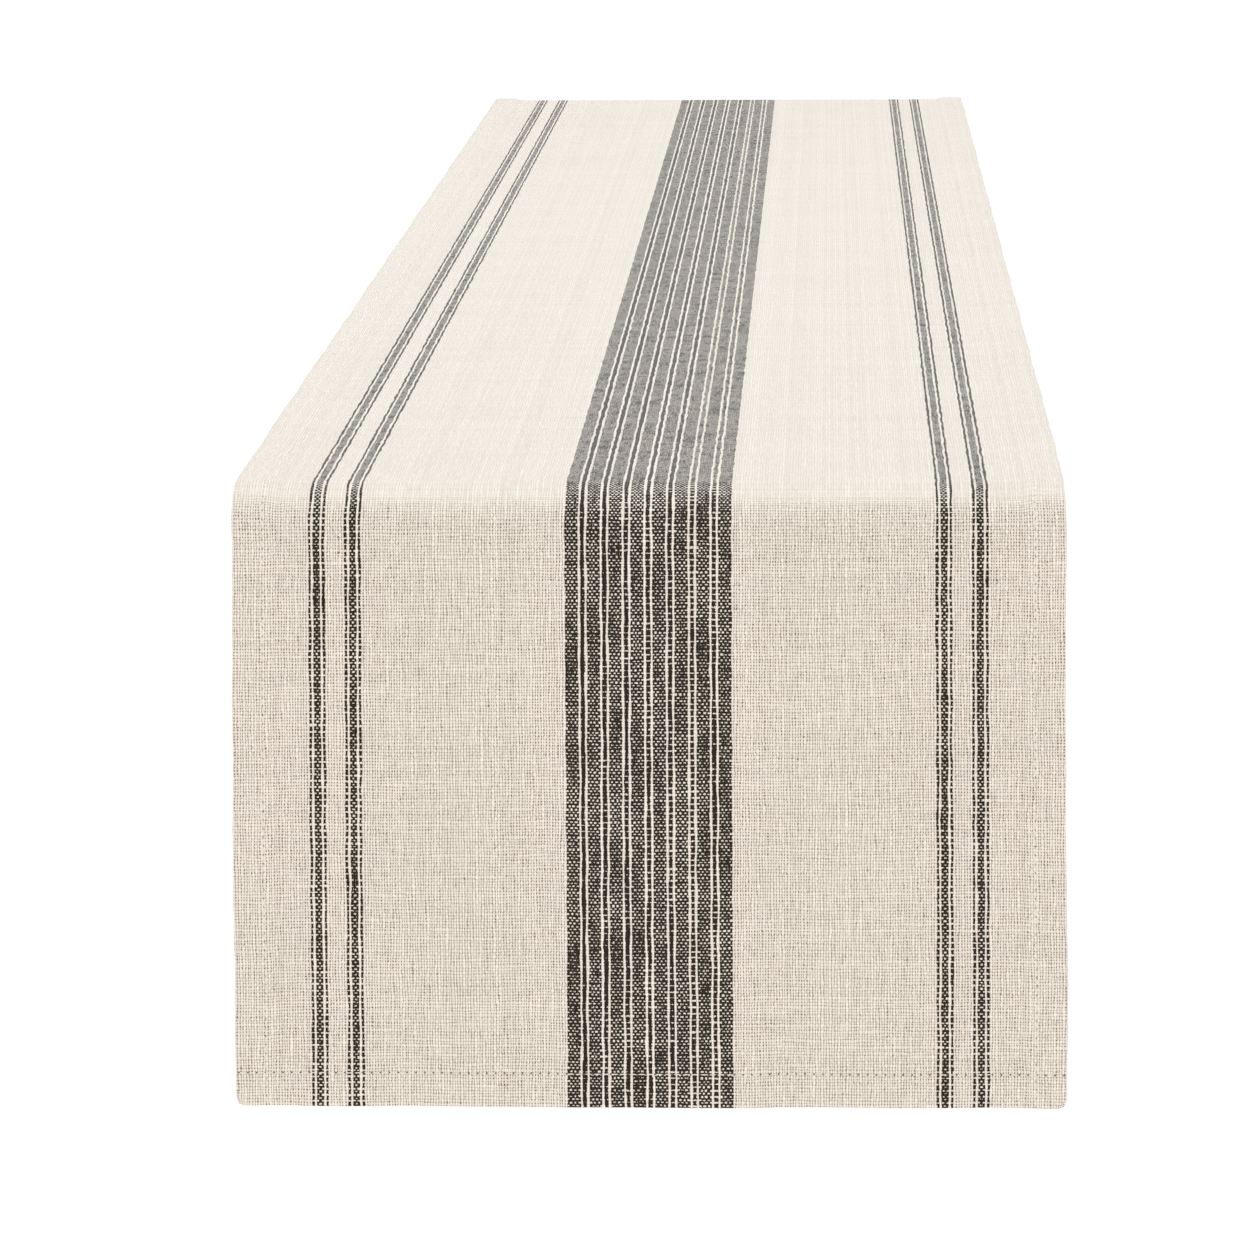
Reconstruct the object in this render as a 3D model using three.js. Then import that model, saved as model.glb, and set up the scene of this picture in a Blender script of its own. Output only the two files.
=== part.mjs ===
// Table runner: one long strip of striped, plain-woven cotton with a double-turned hem on all
// four sides. It is laid over a tabletop, and both ends hang down over the table's edges.
//
// Units are millimetres and +Z is up. X runs across the cloth and Y along it. The origin is on
// the tabletop, under the middle of the runner. The near end hangs down at -Y.
//
// Every piece is a flat section, drawn as x across the cloth and height above the table, and
// swept along the line where the cloth touches the table. A station is a point of that line
// with the cloth's outward normal. Stations run from the far hem to the near one.

import * as THREE from "three";

// The cloth
const clothWidth = 356;
const clothLength = 2743; // along the finished cloth, from hem edge to hem edge
const clothThickness = 1.2;
const overhang = 268; // from the tabletop down to the edge of a hanging hem

// The table edge that the cloth bends over: a quarter of an ellipse
const edgeReach = 30; // along the table
const edgeDrop = 18; // down to where the cloth hangs straight
const bendSegments = 8;
const hingeGap = 1.2; // between a bend and its hanging end, so that the end can swing up
const seamGap = 0.3; // between the top panel and a bend

// Hems: the border is turned under twice, which puts two pressed layers below the cloth
const turnThickness = 1.8;
const sideHemWidth = 13.5;
const endHemWidth = 15.2;
const hemRampWidth = 3; // where the cloth climbs from the table onto a hem
const hemCornerGap = 0.5; // between the end of a side hem and the end hem

// Hem stitching: a line of thread along each hem, sunk in the face of the cloth
const threadWidth = 0.8;
const threadThickness = 0.5;
const threadSink = 0.4;
const threadInset = 1.3; // from the inner edge of a hem to the middle of its thread

// Stripes: bands of dyed warp yarns in the face of the cloth
const stripeDepth = 0.6;
const centreStripeCount = 8;
const centreStripePitch = 9.36;
const centreStripeWidth = 6.2;
const sideStripeWidth = 7;
const sideStripeInset = 36.5; // from the cloth's side edge to the middle of the outer stripe
const sideStripePitch = 15.6;

// Clearance round a stripe, a thread or a hem
const layClearance = 0.1;

// Sizes that follow
const halfWidth = clothWidth / 2;
const hangLength = overhang - edgeDrop;
const bendLength = quarterEllipse(edgeReach, edgeDrop) + (Math.PI / 2) * (clothThickness / 2);
const halfFlat = clothLength / 2 - hangLength - bendLength;
const hemInnerX = halfWidth - sideHemWidth;
const hemFace = turnThickness + clothThickness;
const threadX = hemInnerX + threadInset;

const undyed = { color: 0xe6dccd, roughness: 0.95, metalness: 0 };
const turned = { color: 0xd9cebd, roughness: 0.95, metalness: 0 };
const dyed = { color: 0x57524c, roughness: 0.9, metalness: 0 };
const thread = { color: 0xf3eee3, roughness: 0.7, metalness: 0 };

// The line that the cloth follows

// The length of a quarter of an ellipse, by Ramanujan's second formula.
function quarterEllipse(reach, drop) {
  const h = ((reach - drop) / (reach + drop)) ** 2;
  return (Math.PI / 4) * (reach + drop) * (1 + (3 * h) / (10 + Math.sqrt(4 - 3 * h)));
}

// A station on the flat top, or on the rounded table edge where the cloth has turned by an angle
// from 0 on top to a right angle where it hangs. side is -1 at the near end and 1 at the far end.
function bendStation(side, turned) {
  const normalY = side * Math.sin(turned);
  const normalZ = Math.cos(turned);
  const around = Math.atan2(edgeReach * Math.sin(turned), edgeDrop * Math.cos(turned));
  const y = side * (halfFlat + edgeReach * Math.sin(around));
  return { y, z: edgeDrop * (Math.cos(around) - 1), normalY, normalZ, toEnd: Infinity };
}

// A station on a hanging end. toEnd is its distance from the hem edge.
function hangStation(side, toEnd) {
  return { y: side * (halfFlat + edgeReach), z: toEnd - overhang, normalY: side, normalZ: 0, toEnd };
}

function inOrder(side, fromTopDown) {
  return side < 0 ? fromTopDown : fromTopDown.reverse();
}

function bendStations(side) {
  const angles = Array.from({ length: bendSegments + 1 }, (_, i) => (i / bendSegments) * (Math.PI / 2));
  return inOrder(side, angles.map((angle) => bendStation(side, angle)));
}

// The stations down a hanging end between two distances from the hem edge, with one at each
// end of the ramp onto the end hem.
function hangStations(side, highest, lowest) {
  const rampEnds = [endHemWidth + hemRampWidth, endHemWidth];
  const inside = rampEnds.filter((toEnd) => toEnd < highest && toEnd > lowest);
  return inOrder(side, [highest, ...inside, lowest].map((toEnd) => hangStation(side, toEnd)));
}

// The top with both of its bends, for the pieces that run over it unbroken
const topStations = [...bendStations(1), ...bendStations(-1)];

// The flat top alone, clear of the bends
const flatStations = [1, -1].map((side) => {
  const station = bendStation(side, 0);
  return { ...station, y: station.y - side * seamGap };
});

// How far the cloth is raised by the hem beneath it

// 1 over a hem, 0 away from it, and a straight ramp between.
function overHem(distanceAway) {
  return THREE.MathUtils.clamp(1 - distanceAway / hemRampWidth, 0, 1);
}

function sideHemLift(x) {
  return turnThickness * overHem(hemInnerX - Math.abs(x));
}

// What the end hem adds where no side hem has raised the cloth already.
function endHemLift(x, station) {
  return Math.max(turnThickness * overHem(station.toEnd - endHemWidth) - sideHemLift(x), 0);
}

// Sections and sweeps

// Sweeps a section along the stations: it is extruded one unit for each, and every layer of
// points is then laid on its own station. lift raises a point above its drawn height.
function sweep(section, stations, lift = () => 0) {
  const steps = stations.length - 1;
  const geometry = new THREE.ExtrudeGeometry(section, { depth: steps, steps, bevelEnabled: false });
  const position = geometry.getAttribute("position");
  for (let i = 0; i < position.count; i++) {
    const x = position.getX(i);
    const station = stations[Math.round(position.getZ(i))];
    const height = position.getY(i) + lift(x, station);
    position.setXYZ(i, x, station.y + height * station.normalY, station.z + height * station.normalZ);
  }
  geometry.computeVertexNormals();
  return geometry;
}

function outline(points) {
  return new THREE.Shape(points.map(([x, height]) => new THREE.Vector2(x, height)));
}

function bar(fromX, toX, bottom, top) {
  return outline([[fromX, bottom], [toX, bottom], [toX, top], [fromX, top]]);
}

// Every stripe, from left to right.
function stripePlan() {
  const outerX = halfWidth - sideStripeInset;
  const innerX = outerX - sideStripePitch;
  const side = (name, x) => ({ name, x, width: sideStripeWidth });
  const centre = Array.from({ length: centreStripeCount }, (_, i) => ({
    name: `centre_stripe_${i + 1}`,
    x: (i - (centreStripeCount - 1) / 2) * centreStripePitch,
    width: centreStripeWidth,
  }));
  return [
    side("left_outer_stripe", -outerX),
    side("left_inner_stripe", -innerX),
    ...centre,
    side("right_inner_stripe", innerX),
    side("right_outer_stripe", outerX),
  ];
}

const stripes = stripePlan();

// A channel in the cloth's face, with its step down and its step up.
function channel(x, width, face, depth) {
  const [from, to] = [x - width / 2, x + width / 2];
  return [[from, face], [from, face - depth], [to, face - depth], [to, face]];
}

// The whole cloth's section: a strip that climbs onto its two side hems, with a channel in its
// face for each stripe and each side hem's thread.
function clothSection() {
  const climb = [[hemInnerX - hemRampWidth, 0], [hemInnerX, turnThickness], [halfWidth, turnThickness]];
  const rightFace = climb.map(([x, height]) => [x, height + clothThickness]);
  const mirrored = (points) => points.map(([x, height]) => [-x, height]).reverse();
  const [rampFoot, ...border] = rightFace;
  const [hemEdge, clothEdge] = border;
  const rightBorder = [rampFoot, hemEdge, ...channel(threadX, threadWidth, hemFace, threadSink), clothEdge];
  const stripeChannels = stripes.flatMap(({ x, width }) => channel(x, width, clothThickness, stripeDepth));
  const face = [...mirrored(rightBorder), ...stripeChannels, ...rightBorder];
  const underside = [...mirrored(climb), ...climb];
  return outline([...face, ...underside.reverse()]);
}

// The sub-parts

function piece(name, geometry, finish) {
  const mesh = new THREE.Mesh(geometry, new THREE.MeshStandardMaterial(finish));
  mesh.name = name;
  return mesh;
}

function panel(name, stations) {
  return piece(`${name}_panel`, sweep(clothSection(), stations, endHemLift), undyed);
}

function stripeMeshes(name, stations) {
  const bottom = clothThickness - stripeDepth + layClearance;
  return stripes.map((stripe) => {
    const reach = stripe.width / 2 - layClearance;
    const section = bar(stripe.x - reach, stripe.x + reach, bottom, clothThickness);
    return piece(`${name}_${stripe.name}`, sweep(section, stations, endHemLift), dyed);
  });
}

// The two turned layers along each side, and the thread that holds them.
function sideHemMeshes(name, stations) {
  const threadReach = threadWidth / 2 - layClearance;
  const threadBottom = hemFace - threadSink + layClearance;
  const threadTop = threadBottom + threadThickness;
  return [["left", -1], ["right", 1]].flatMap(([sideName, side]) => {
    const [innerX, middleX] = [side * hemInnerX, side * threadX];
    const [fromX, toX] = [Math.min(innerX, side * halfWidth), Math.max(innerX, side * halfWidth)];
    const hemSection = bar(fromX, toX, 0, turnThickness - layClearance);
    const threadSection = bar(middleX - threadReach, middleX + threadReach, threadBottom, threadTop);
    return [
      piece(`${name}_${sideName}_hem`, sweep(hemSection, stations), turned),
      piece(`${name}_${sideName}_hem_thread`, sweep(threadSection, stations), thread),
    ];
  });
}

// The two turned layers across a hanging end, and the thread that holds them. The thread lies
// on the face, from one side edge to the other.
function endHemMeshes(name, side) {
  const hemSection = bar(-halfWidth, halfWidth, 0, turnThickness - layClearance);
  const threadReach = halfWidth - threadInset;
  const threadBottom = hemFace + layClearance;
  const threadTop = hemFace - threadSink + threadThickness + layClearance;
  const threadSection = bar(-threadReach, threadReach, threadBottom, threadTop);
  const middle = endHemWidth - threadInset;
  const threadStations = hangStations(side, middle + threadWidth / 2, middle - threadWidth / 2);
  return [
    piece(`${name}_end_hem`, sweep(hemSection, hangStations(side, endHemWidth, 0)), turned),
    piece(`${name}_end_hem_thread`, sweep(threadSection, threadStations), thread),
  ];
}

function topMeshes() {
  return [
    panel("top", flatStations),
    panel("near_bend", bendStations(-1)),
    panel("far_bend", bendStations(1)),
    ...stripeMeshes("top", topStations),
    ...sideHemMeshes("top", topStations),
  ];
}

function hangingEndMeshes(name, side) {
  const highest = hangLength - hingeGap;
  const clothStations = hangStations(side, highest, 0);
  const hemStations = hangStations(side, highest, endHemWidth + hemCornerGap);
  return [
    panel(name, clothStations),
    ...stripeMeshes(name, clothStations),
    ...sideHemMeshes(name, hemStations),
    ...endHemMeshes(name, side),
  ];
}

const tableRunner = new THREE.Group();
tableRunner.add(...topMeshes(), ...hangingEndMeshes("near_drop", -1), ...hangingEndMeshes("far_drop", 1));

export default tableRunner;
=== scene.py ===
import math

import bmesh
import bpy
import numpy as np
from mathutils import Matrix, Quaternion, Vector


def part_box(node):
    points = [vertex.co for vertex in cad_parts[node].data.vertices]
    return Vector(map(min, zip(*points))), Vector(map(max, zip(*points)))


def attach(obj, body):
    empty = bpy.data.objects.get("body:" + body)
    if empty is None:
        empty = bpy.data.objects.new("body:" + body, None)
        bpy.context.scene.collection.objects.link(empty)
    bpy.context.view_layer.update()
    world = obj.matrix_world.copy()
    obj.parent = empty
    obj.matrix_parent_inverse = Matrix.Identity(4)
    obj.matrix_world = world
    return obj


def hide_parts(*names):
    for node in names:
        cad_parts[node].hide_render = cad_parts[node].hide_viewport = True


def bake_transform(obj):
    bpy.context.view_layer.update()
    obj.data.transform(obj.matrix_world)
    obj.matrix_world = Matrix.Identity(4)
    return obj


# A striped cotton table runner, laid over a table with both ends hanging down. Its cloth is made in
# two halves, near and far, which meet in the middle, and each has its own hem stitching. Sizes are
# in metres, and +Z is up.

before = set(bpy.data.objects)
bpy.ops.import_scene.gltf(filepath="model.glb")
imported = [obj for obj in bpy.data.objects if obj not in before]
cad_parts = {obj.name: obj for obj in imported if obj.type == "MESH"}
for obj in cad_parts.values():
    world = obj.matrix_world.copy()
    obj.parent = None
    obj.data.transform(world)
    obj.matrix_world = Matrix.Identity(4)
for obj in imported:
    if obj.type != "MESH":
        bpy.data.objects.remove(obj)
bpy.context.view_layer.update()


# where the cloth lies, all of it read from the CAD model
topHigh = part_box("top_panel")[1]
bendLow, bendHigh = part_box("near_bend_panel")
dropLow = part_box("near_drop_panel")[0]
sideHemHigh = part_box("near_drop_left_hem")[1]
endHemLow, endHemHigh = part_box("near_drop_end_hem")

halfWidth = topHigh.x
hemBulk = topHigh.z  # three layers of cloth
halfFlat = -bendHigh.y
edgeReach = -bendLow.y - hemBulk - halfFlat  # the table's edge is rounded: a quarter of an ellipse
edgeDrop = -bendLow.z
hangLength = -edgeDrop - dropLow.z
sideHem = halfWidth + sideHemHigh.x
endHem = endHemHigh.z - endHemLow.z

# round the table's edge: the distance travelled, and how far round the ellipse that is
edgePoints = 181
roundEdge = np.linspace(0, math.pi / 2, edgePoints)
edgeTravel = np.hypot(np.diff(edgeReach * np.sin(roundEdge)), np.diff(edgeDrop * np.cos(roundEdge)))
edgeTravel = np.concatenate([[0], np.cumsum(edgeTravel)])
bendLength = float(edgeTravel[-1])
halfLength = halfFlat + bendLength + hangLength  # from the middle of the runner to a hem edge


# an sRGB hex colour in linear light
def srgb(code):
    channels = [int(code[i:i + 2], 16) / 255 for i in (0, 2, 4)]
    linear = [c / 12.92 if c <= 0.04045 else ((c + 0.055) / 1.055) ** 2.4 for c in channels]
    return (*linear, 1)


# adds a node with its settings, and fills its inputs, given in order or by name: a socket is linked
def addNode(tree, kind, inputs=(), **settings):
    node = tree.nodes.new(kind)
    for name, value in settings.items():
        setattr(node, name, value)
    named = inputs if isinstance(inputs, dict) else dict(enumerate(inputs))
    for name, value in named.items():
        if isinstance(value, bpy.types.NodeSocket):
            tree.links.new(value, node.inputs[name])
        else:
            node.inputs[name].default_value = value
    return node


def newMaterial(name):
    material = bpy.data.materials.new(name)
    material.use_nodes = True
    material.node_tree.nodes.clear()
    return material


def newObject(name, mesh):
    thing = bpy.data.objects.new(name, mesh)
    bpy.context.scene.collection.objects.link(thing)
    return thing


# the cloth's yarns, as a weaver would note them, and the painted shade between them
weave = {
    "clothThickness": 0.0006,
    "weftPitch": 0.00135,
    "fieldPitch": 0.00118,  # between warp ends in the plain fields
    "yarnRadius": 0.00042,
    "crimp": 0.62,  # how far a yarn rises over its neighbours, in yarn radii
    "stripeDip": 0.8,  # how much deeper the weft sinks among the close-set ends of a stripe
    "lyingLift": 0.15,  # how much less it sinks where the cloth lies on the table
    "thinDip": 0.3,  # how much deeper still under the one thick end of a thin line
    "thinSpread": 0.8,  # and how much the thin lines differ in that
    "lyingThinDip": 0.6,  # how much more of both where the cloth lies pressed on the table
    "lyingThinSpread": 2.88,
    "lyingLoneDip": 1.2,  # and there, under the single dyed ends beside a side stripe
    "pressedFrom": 0.5,  # how far round the table's edge, as a share, the cloth is pressed flat
    "pressedTo": 0.75,  # and where it hangs free
    "undyed": "F3E8DB",
    "undyedWeft": "F2E7D9",
    "dyed": "2A241C",
    "toneSpread": 0.12,  # how much the yarns differ in tone
    "warpSeed": 0.5,
    "weftSeed": 300.5,
    "lineSeed": 60.5,
    "detail": 2.0,  # of the noise that the yarns follow
    "hangingPaintedShade": "86705F",  # painted shade of the gaps between yarns where the cloth hangs
    "lyingPaintedShade": "E6E4E1",  # and where it lies on the table: paler, as the light from above falls into them and the pale table shows through
    "gapTop": 1.9,  # the height above the deepest gap, in yarn radii, where its shade ends
    "gapCurve": 0.8,
    "endGap": 0.3,  # how far the painted shade of the gaps between warp ends shows, even where a pick crosses them
    "endGapTop": 0.8,
    "roughness": 0.92,
    "specular": 0.2,
    "sheen": 0.33,
    "sheenRoughness": 0.4,
    "bumpStrength": 0.6,
    "bumpDepth": 0.00035,
}

# how the yarns vary: changes in a metre across and along the cloth (420 is one every 2.4 mm, or
# every second end), the pattern's shift, and how much, in metres for wander and fray, as a share
# for slub, tone and shade, and in yarn radii for dip
variation = {
    "warpWander": (420, 60, 3.1, 0.0008),
    "warpFray": (850, 600, 11.3, 0.00035),
    "weftWander": (50, 380, 7.7, 0.0008),
    "weftFray": (600, 800, 17.9, 0.00035),
    "warpSlub": (850, 150, 23.7, 0.3),
    "weftSlub": (150, 740, 31.3, 0.3),
    "dipAtEnds": (1000, 130, 41.9, 1.1),
    "dipAtCrossings": (900, 600, 53.1, 0.8),
    "dipInPatches": (60, 30, 67.7, 0.8),
    "lyingDipAtEnds": (500, 60, 77.1, 1.4),
    "lyingDipInPatches": (170, 110, 88.3, 1.3),
    "yarnTone": (700, 90, 5.3, 0.1),
    "clothShade": (18, 18, 9.1, 0.03),
}

# the warp across one repeat of the centre band, from the middle of one thin line to the middle of
# the next, as (width, ends). A thin line is one thick end of doubled yarn.
thinHalf = (0.00087, 0.5)
undyedEnd = (0.00104, 1)
wideStripe = (0.00554, 6)
bandRepeat = [thinHalf, undyedEnd, wideStripe, undyedEnd, thinHalf]
lastRepeat = bandRepeat[:3]  # the band ends with a wide stripe
repeatsEachSide = 3  # before that, from the middle of the cloth
centreStripes = 2 * (repeatsEachSide + 1)  # the wide ones, which the CAD model has too
repeatWidth = sum(width for width, ends in bandRepeat)
repeatEnds = int(sum(ends for width, ends in bandRepeat))
bandEdge = repeatsEachSide * repeatWidth + sum(width for width, ends in lastRepeat)
bandEnds = repeatsEachSide * repeatEnds + sum(ends for width, ends in lastRepeat)

# each side stripe: 1 dyed end, 1 undyed, 3 dyed, 1 undyed and 1 dyed, at two places from the middle
sideStripe = {"ends": 7, "undyedEnds": (1, 5), "pitch": 0.000985, "inner": 0.1262, "outer": 0.1416}


# the plain fields and the side stripes, outwards from the band
def outerZones():
    reach = sideStripe["ends"] * sideStripe["pitch"] / 2
    inner, outer = sideStripe["inner"], sideStripe["outer"]
    pastHem = halfWidth + 3 * sideHem  # far enough for the layers turned under
    edges = [
        (bandEdge, inner - reach, False),
        (inner - reach, inner + reach, True),
        (inner + reach, outer - reach, False),
        (outer - reach, outer + reach, True),
        (outer + reach, pastHem, False),
    ]
    zones = []
    first = bandEnds + 0.5
    for start, end, isStripe in edges:
        ends = sideStripe["ends"] if isStripe else round((end - start) / weave["fieldPitch"])
        zones.append({"start": start, "end": end, "ends": ends, "first": first, "isStripe": isStripe})
        first += ends
    return zones


# Yarn-dyed plain weave of coarse, slightly slubby cotton: round yarns that pass over and under
# each other, so a dyed stripe is flecked with the undyed weft and a plain field is a fine grid, with painted
# shade in the gaps between its yarns.
def clothMaterial():
    material = newMaterial("yarn_dyed_plain_weave_cotton")
    tree = material.node_tree
    maths, ranged, vectors = "ShaderNodeMath", "ShaderNodeMapRange", "ShaderNodeVectorMath"

    # a new node's first output
    def add(kind, inputs=(), **settings):
        return addNode(tree, kind, inputs, **settings).outputs[0]

    place = add("ShaderNodeUVMap", uv_map="yarnPlace")
    split = addNode(tree, "ShaderNodeSeparateXYZ", (place,))
    across, along = split.outputs["X"], split.outputs["Y"]

    # noise about a middle value, in one of the ways that the yarns vary
    def varied(name, middle=0, scale=1):
        perMetreAcross, perMetreAlong, shift, reach = variation[name]
        reach = reach * scale
        at = add("ShaderNodeMapping", {"Vector": place, "Location": (shift, shift, 0),
                                       "Scale": (perMetreAcross, perMetreAlong, 1)})
        noise = add("ShaderNodeTexNoise", {"Vector": at, "Scale": 1.0, "Detail": weave["detail"]})
        return add(maths, (noise, 2 * reach, middle - reach), operation="MULTIPLY_ADD")

    # 1 from one numbered end to another, and 0 elsewhere
    def isBetween(number, first, last):
        after = add(maths, (number, first - 0.5), operation="GREATER_THAN")
        before = add(maths, (number, last + 0.5), operation="LESS_THAN")
        return add(maths, (after, before), operation="MULTIPLY")

    # every yarn strays a little, slowly along its length, and its sides are uneven
    warpAt = add(maths, (across, varied("warpWander")), operation="ADD")
    warpAt = add(maths, (warpAt, varied("warpFray")), operation="ADD")
    weftAt = add(maths, (along, varied("weftWander")), operation="ADD")
    weftAt = add(maths, (weftAt, varied("weftFray")), operation="ADD")

    # the number of warp ends between the middle of the cloth and this point
    away = add(maths, (warpAt,), operation="ABSOLUTE")
    inBand = add(maths, (away, bandEdge), operation="MINIMUM")
    repeats = add(maths, (inBand, repeatWidth), operation="DIVIDE")
    repeats = add(maths, (repeats,), operation="FLOOR")
    earlier = add(maths, (repeats, repeatWidth), operation="MULTIPLY")
    inRepeat = add(maths, (inBand, earlier), operation="SUBTRACT")
    ends = add(maths, (repeats, repeatEnds), operation="MULTIPLY")
    start = 0
    for width, count in bandRepeat:
        passed = add(ranged, (inRepeat, start, start + width, 0, count), clamp=True)
        ends = add(maths, (ends, passed), operation="ADD")
        start += width
    for zone in outerZones():
        passed = add(ranged, (away, zone["start"], zone["end"], 0, zone["ends"]), clamp=True)
        ends = add(maths, (ends, passed), operation="ADD")
    leftOrRight = add(maths, (warpAt,), operation="SIGN")
    warp = add(maths, (ends, leftOrRight, 0.5), operation="MULTIPLY_ADD")
    weft = add(maths, (weftAt, weave["weftPitch"]), operation="DIVIDE")

    # which ends are dyed, and which are set close together
    end = add(maths, (ends, 0.5), operation="ADD")
    end = add(maths, (end,), operation="FLOOR")
    inRepeatEnd = add(maths, (end, repeatEnds), operation="MODULO")
    closeSet = add(maths, (end, bandEnds), operation="LESS_THAN")
    undyed = (isBetween(inRepeatEnd, 1, 1), isBetween(inRepeatEnd, repeatEnds - 1, repeatEnds - 1))
    undyed = add(maths, undyed, operation="ADD")
    dyed = add(maths, (1.0, undyed), operation="SUBTRACT")
    dyed = add(maths, (closeSet, dyed), operation="MULTIPLY")
    loneEnd = 0.0  # the single dyed ends beside a side stripe
    lastEnd = sideStripe["ends"] - 1
    for zone in outerZones():
        if zone["isStripe"]:
            number = add(maths, (end, zone["first"]), operation="SUBTRACT")
            inStripe = isBetween(number, 0, lastEnd)
            undyed = add(maths, [isBetween(number, n, n) for n in sideStripe["undyedEnds"]], operation="ADD")
            undyed = add(maths, (1.0, undyed), operation="SUBTRACT")
            dyed = add(maths, (inStripe, undyed, dyed), operation="MULTIPLY_ADD")
            closeSet = add(maths, (closeSet, inStripe), operation="ADD")
            lone = add(maths, [isBetween(number, n, n) for n in (0, lastEnd)], operation="ADD")
            loneEnd = add(maths, (loneEnd, lone), operation="ADD")

    # the height of a yarn: its round section, raised or lowered where it crosses the others
    def yarnHeight(position, crossing, radius, phase):
        index = add(maths, (position,), operation="FLOOR")
        offset = add(maths, (position, index), operation="SUBTRACT")
        offset = add(maths, (offset, 0.5), operation="SUBTRACT")
        share = add(maths, (offset, radius), operation="DIVIDE")
        section = add(maths, (share, share), operation="MULTIPLY")
        section = add(maths, (1.0, section), operation="SUBTRACT")
        section = add(maths, (section, 0.0), operation="MAXIMUM")
        section = add(maths, (section,), operation="SQRT")
        turn = add(maths, (crossing, index), operation="ADD")
        turn = add(maths, (turn, phase), operation="ADD")
        turn = add(maths, (turn, math.pi), operation="MULTIPLY")
        wave = add(maths, (turn,), operation="COSINE")
        isYarn = add(maths, (section, 0.0), operation="GREATER_THAN")
        height = add(maths, (wave, weave["crimp"], section), operation="MULTIPLY_ADD")
        height = add(maths, (height, 1.0), operation="ADD")
        return index, add(maths, (isYarn, height), operation="MULTIPLY")

    fieldShare = weave["yarnRadius"] / weave["fieldPitch"]
    stripeShare = weave["yarnRadius"] * wideStripe[1] / wideStripe[0]
    warpRadius = add(maths, (closeSet, stripeShare - fieldShare, fieldShare), operation="MULTIPLY_ADD")
    warpRadius = add(maths, (warpRadius, varied("warpSlub", 1)), operation="MULTIPLY")
    weftShare = weave["yarnRadius"] / weave["weftPitch"]
    weftRadius = varied("weftSlub", weftShare, weftShare)
    warpIndex, warpHeight = yarnHeight(warp, weft, warpRadius, -0.5)
    weftIndex, weftHeight = yarnHeight(weft, warp, weftRadius, 0.5)
    fromMiddle = add(maths, (along,), operation="ABSOLUTE")
    pressed, free = (halfFlat + weave[name] * bendLength for name in ("pressedFrom", "pressedTo"))
    lying = add(ranged, (fromMiddle, pressed, free, 1, 0), clamp=True)

    # the weft sinks more under some ends and in some places than others
    dip = add(maths, (varied("dipAtEnds", weave["stripeDip"]), varied("dipAtCrossings")), operation="ADD")
    dip = add(maths, (dip, varied("dipInPatches")), operation="ADD")
    lyingDip = (varied("lyingDipAtEnds", -weave["lyingLift"]), varied("lyingDipInPatches"))
    lyingDip = add(maths, lyingDip, operation="ADD")
    dip = add(maths, (lying, lyingDip, dip), operation="MULTIPLY_ADD")

    # and under the thin lines, each by its own amount
    isThin = isBetween(inRepeatEnd, 0, 0)
    inBandEnds = add(maths, (end, bandEnds), operation="LESS_THAN")
    isThin = add(maths, (isThin, inBandEnds), operation="MULTIPLY")
    line = add(maths, (warpIndex, weave["lineSeed"]), operation="ADD")
    line = add("ShaderNodeTexWhiteNoise", {"W": line}, noise_dimensions="1D")
    spread = weave["thinSpread"]
    thinDip = add(maths, (line, spread, weave["thinDip"] - spread / 2), operation="MULTIPLY_ADD")
    spread = weave["lyingThinSpread"]
    lyingThinDip = add(maths, (line, spread, weave["lyingThinDip"] - spread / 2), operation="MULTIPLY_ADD")
    thinDip = add(maths, (lyingThinDip, lying, thinDip), operation="MULTIPLY_ADD")
    dip = add(maths, (isThin, thinDip, dip), operation="MULTIPLY_ADD")
    loneDip = add(maths, (lying, weave["lyingLoneDip"]), operation="MULTIPLY")
    dip = add(maths, (loneEnd, loneDip, dip), operation="MULTIPLY_ADD")

    dip = add(maths, (dyed, dip), operation="MULTIPLY")
    weftHeight = add(maths, (weftHeight, dip), operation="SUBTRACT")
    height = add(maths, (warpHeight, weftHeight), operation="MAXIMUM")
    warpOver = add(maths, (warpHeight, weftHeight), operation="GREATER_THAN")

    # each yarn has its own tone
    def tone(index, seed):
        number = add(maths, (index, seed), operation="ADD")
        random = add("ShaderNodeTexWhiteNoise", {"W": number}, noise_dimensions="1D")
        spread = weave["toneSpread"]
        return add(maths, (random, spread, 1 - spread / 2), operation="MULTIPLY_ADD")

    streak = add(maths, (varied("yarnTone", 1), varied("clothShade", 1)), operation="MULTIPLY")
    names = ("undyed", "dyed", "undyedWeft")
    undyedColour, dyedColour, weftColour = (srgb(weave[name]) for name in names)
    mix = addNode(tree, "ShaderNodeMix", {0: dyed, 6: undyedColour, 7: dyedColour}, data_type="RGBA")
    warpColour = {0: mix.outputs[2], "Scale": tone(warpIndex, weave["warpSeed"])}
    warpColour = add(vectors, warpColour, operation="SCALE")
    weftColour = {0: weftColour[:3], "Scale": tone(weftIndex, weave["weftSeed"])}
    weftColour = add(vectors, weftColour, operation="SCALE")
    mix = addNode(tree, "ShaderNodeMix", {0: warpOver, 6: weftColour, 7: warpColour}, data_type="RGBA")
    yarnColour = add(vectors, {0: mix.outputs[2], "Scale": streak}, operation="SCALE")
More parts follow.
